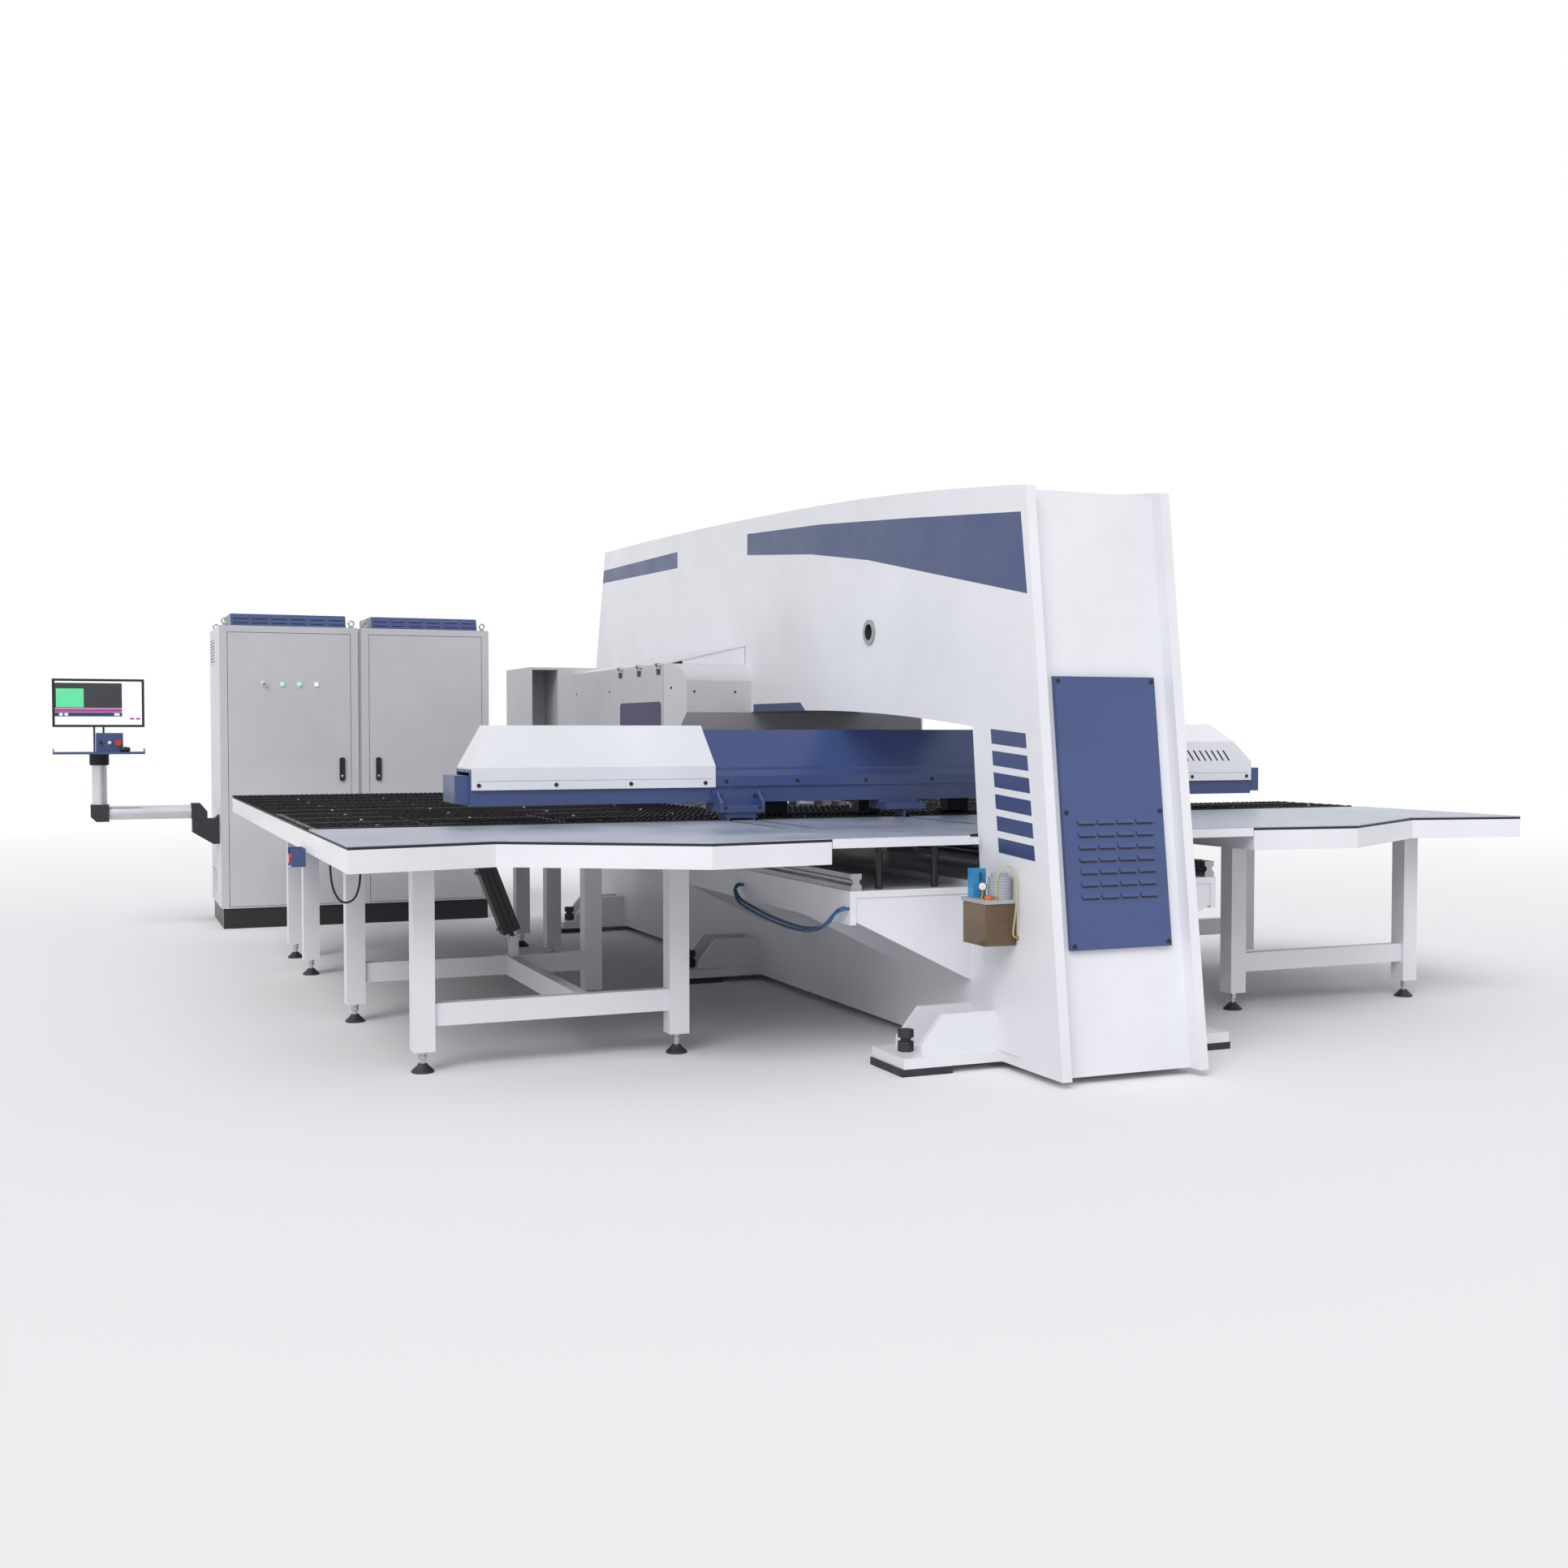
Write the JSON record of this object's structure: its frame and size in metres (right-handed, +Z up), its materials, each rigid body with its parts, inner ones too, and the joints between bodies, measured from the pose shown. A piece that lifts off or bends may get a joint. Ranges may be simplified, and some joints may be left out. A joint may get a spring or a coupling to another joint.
{
  "type": "cnc turret punch press",
  "caption": "Closed-frame turret punch press with a carriage on brush tables, guarded turrets, control cabinets and an operator pendant.",
  "frame": {"origin": "on the floor, under the middle of the whole machine's plan", "axes": "+X to the right along the carriage beam, +Y along the frame from its near end to the cabinets, +Z up"},
  "size_m": [6.282, 7.007, 2.422],
  "materials": {
    "white_paint": "satin",
    "grey_paint": "satin",
    "blue_paint": "satin",
    "black_paint": "satin",
    "board_black": "brushed",
    "sheet_steel": "smooth",
    "machined_steel": "machined",
    "zinc_steel": "plated",
    "cast_black": "cast",
    "black_plastic": "moulded",
    "red_plastic": "moulded",
    "white_plastic": "moulded",
    "lamp_lens": "lens",
    "violet_pane": "tinted",
    "clear_tank": "translucent",
    "aluminium_tube": "anodised",
    "motor_grey": "satin",
    "hose_blue": "smooth",
    "tube_yellow": "clear"
  },
  "bodies": {
    "machine": {"frame_side_plates": "white_paint", "frame_plates": "white_paint", "lifting_bushes": "machined_steel", "vent_panel": "blue_paint", "foot_brackets": "white_paint", "leveling_bolts": "cast_black", "foot_pads": "cast_black", "consoles": "white_paint", "y_rails": "machined_steel", "y_drive": "motor_grey", "table_skirts": "white_paint", "centre_table": "white_paint", "brush_boards": "board_black", "table_sheets": "sheet_steel", "table_legs": "white_paint", "table_feet": "black_plastic", "table_posts": "black_paint", "press_head": "cast_black", "turret_cover": "grey_paint", "cabinets": "grey_paint", "cabinet_plinth": "black_paint", "roof_vents": "blue_paint", "pendant_bracket": "cast_black", "estop_bracket": "blue_paint", "lubricator_tank": "clear_tank", "lubricator_pump": "motor_grey", "lubricator_controller": "blue_paint", "lubricator_tube": "tube_yellow", "air_hoses": "hose_blue", "loop_hose": "hose_blue"},
    "y_screw": {"y_ball_screw": "machined_steel"},
    "y_carriage": {"x_beam": "blue_paint", "side_covers": "white_paint", "centre_cover": "blue_paint", "carriage_brackets": "blue_paint", "linear_guides": "machined_steel"},
    "x_carriage": {"clamp_carriage": "cast_black"},
    "jaws": {"clamp_jaws": "zinc_steel"},
    "turret_upper": {"upper_turret": "machined_steel"},
    "turret_lower": {"lower_turret": "machined_steel"},
    "ram": {"ram": "machined_steel"},
    "flap": {"cover_flap": "grey_paint", "flap_window": "violet_pane"},
    "door_l": {"door_left": "grey_paint", "pilot_lamps": "lamp_lens"},
    "door_r": {"door_right": "grey_paint"},
    "handle_l": {"handle_left": "black_plastic"},
    "handle_r": {"handle_right": "black_plastic"},
    "key": {"key_switch": "zinc_steel"},
    "pendant_arm": {"pendant_tubes": "aluminium_tube", "pendant_elbows": "cast_black"},
    "pendant_station": {"pendant_head": "blue_paint"},
    "screen": {"monitor": "black_plastic"},
    "selector": {"pendant_selector": "black_plastic"},
    "button": {"pendant_button": "white_plastic"},
    "pendant_stop": {"pendant_estop": "red_plastic"},
    "table_stop": {"table_estop": "red_plastic"},
    "trap": {"trapdoor": "board_black"},
    "cylinder": {"lift_cylinder": "black_paint"},
    "piston_rod": {"lift_rod": "machined_steel"}
  },
  "joints": [
    {"name": "y_slide", "type": "slide", "parent": "machine", "child": "y_carriage", "axis": [0, 1, 0], "range_m": [-0.6, 0.65]},
    {"name": "y_screw_spin", "type": "hinge", "parent": "machine", "child": "y_screw", "pos_m": [0.501, -1.5035, 0.757], "axis": [0, 1, 0], "range_deg": [-5401, 5851]},
    {"name": "x_slide", "type": "slide", "parent": "y_carriage", "child": "x_carriage", "axis": [1, 0, 0], "range_m": [-1.25, 1.25]},
    {"name": "clamps_open", "type": "hinge", "parent": "x_carriage", "child": "jaws", "pos_m": [0.501, -1.1965, 0.932], "axis": [1, 0, 0], "range_deg": [0, 25]},
    {"name": "upper_turret_spin", "type": "hinge", "parent": "machine", "child": "turret_upper", "pos_m": [0.501, 0.0665, 1], "axis": [0, 0, 1], "continuous": true},
    {"name": "lower_turret_spin", "type": "hinge", "parent": "machine", "child": "turret_lower", "pos_m": [0.501, 0.0665, 0.8], "axis": [0, 0, 1], "continuous": true},
    {"name": "ram_stroke", "type": "slide", "parent": "machine", "child": "ram", "axis": [0, 0, -1], "range_m": [0, 0.03]},
    {"name": "flap_open", "type": "hinge", "parent": "machine", "child": "flap", "pos_m": [-0.25, 0.0265, 1.6], "axis": [0, 1, 0], "range_deg": [0, 90]},
    {"name": "door_left_open", "type": "hinge", "parent": "machine", "child": "door_l", "pos_m": [-2.104, 2.6705, 1.014], "axis": [0, 0, -1], "range_deg": [0, 45]},
    {"name": "door_right_open", "type": "hinge", "parent": "machine", "child": "door_r", "pos_m": [-0.51, 2.6705, 1.014], "axis": [0, 0, 1], "range_deg": [0, 45]},
    {"name": "handle_left_turn", "type": "hinge", "parent": "door_l", "child": "handle_l", "pos_m": [-1.413, 2.6565, 1.012], "axis": [0, 1, 0], "range_deg": [0, 90]},
    {"name": "handle_right_turn", "type": "hinge", "parent": "door_r", "child": "handle_r", "pos_m": [-1.18, 2.6565, 1.012], "axis": [0, 1, 0], "range_deg": [0, 90]},
    {"name": "key_turn", "type": "hinge", "parent": "door_l", "child": "key", "pos_m": [-1.894, 2.6565, 1.56], "axis": [0, 1, 0], "range_deg": [0, 90]},
    {"name": "pendant_swing", "type": "hinge", "parent": "machine", "child": "pendant_arm", "pos_m": [-2.281, 2.8465, 0.715], "axis": [0, 0, 1], "range_deg": [-45, 45]},
    {"name": "pendant_station_swivel", "type": "hinge", "parent": "pendant_arm", "child": "pendant_station", "pos_m": [-2.875, 2.8465, 1.06], "axis": [0, 0, 1], "range_deg": [-90, 90]},
    {"name": "screen_tilt", "type": "hinge", "parent": "pendant_station", "child": "screen", "pos_m": [-2.875, 2.8505, 1.434], "axis": [1, 0, 0], "range_deg": [-12, 10]},
    {"name": "selector_turn", "type": "hinge", "parent": "pendant_station", "child": "selector", "pos_m": [-2.865, 2.7505, 1.188], "axis": [0, 1, 0], "range_deg": [-45, 45]},
    {"name": "button_press", "type": "slide", "parent": "pendant_station", "child": "button", "axis": [0, 1, 0], "range_m": [0, 0.004], "stiffness_N_per_m": 400},
    {"name": "pendant_stop_press", "type": "slide", "parent": "pendant_station", "child": "pendant_stop", "axis": [0, 1, 0], "range_m": [0, 0.005], "stiffness_N_per_m": 400},
    {"name": "table_stop_press", "type": "slide", "parent": "machine", "child": "table_stop", "axis": [1, 0, 0], "range_m": [0, 0.005], "stiffness_N_per_m": 400},
    {"name": "trapdoor_drop", "type": "hinge", "parent": "machine", "child": "trap", "pos_m": [-1.045, -1.1535, 0.846], "axis": [0, -1, 0], "range_deg": [0, 20]},
    {"name": "cylinder_swing", "type": "hinge", "parent": "machine", "child": "cylinder", "pos_m": [-1.199, -1.1535, 0.33], "axis": [0, -1, 0], "range_deg": [0, 1.7]},
    {"name": "rod_retract", "type": "slide", "parent": "cylinder", "child": "piston_rod", "axis": [0.3588, 0, -0.9334], "range_m": [0, 0.118]}
  ],
  "couplings": [
    {"joint": "y_screw_spin", "follows": "y_slide", "rad_per_m": 157.08},
    {"joint": "lower_turret_spin", "follows": "upper_turret_spin", "ratio": 1},
    {"joint": "cylinder_swing", "follows": "trapdoor_drop", "ratio": 0.082},
    {"joint": "rod_retract", "follows": "trapdoor_drop", "m_per_rad": 0.33661}
  ]
}
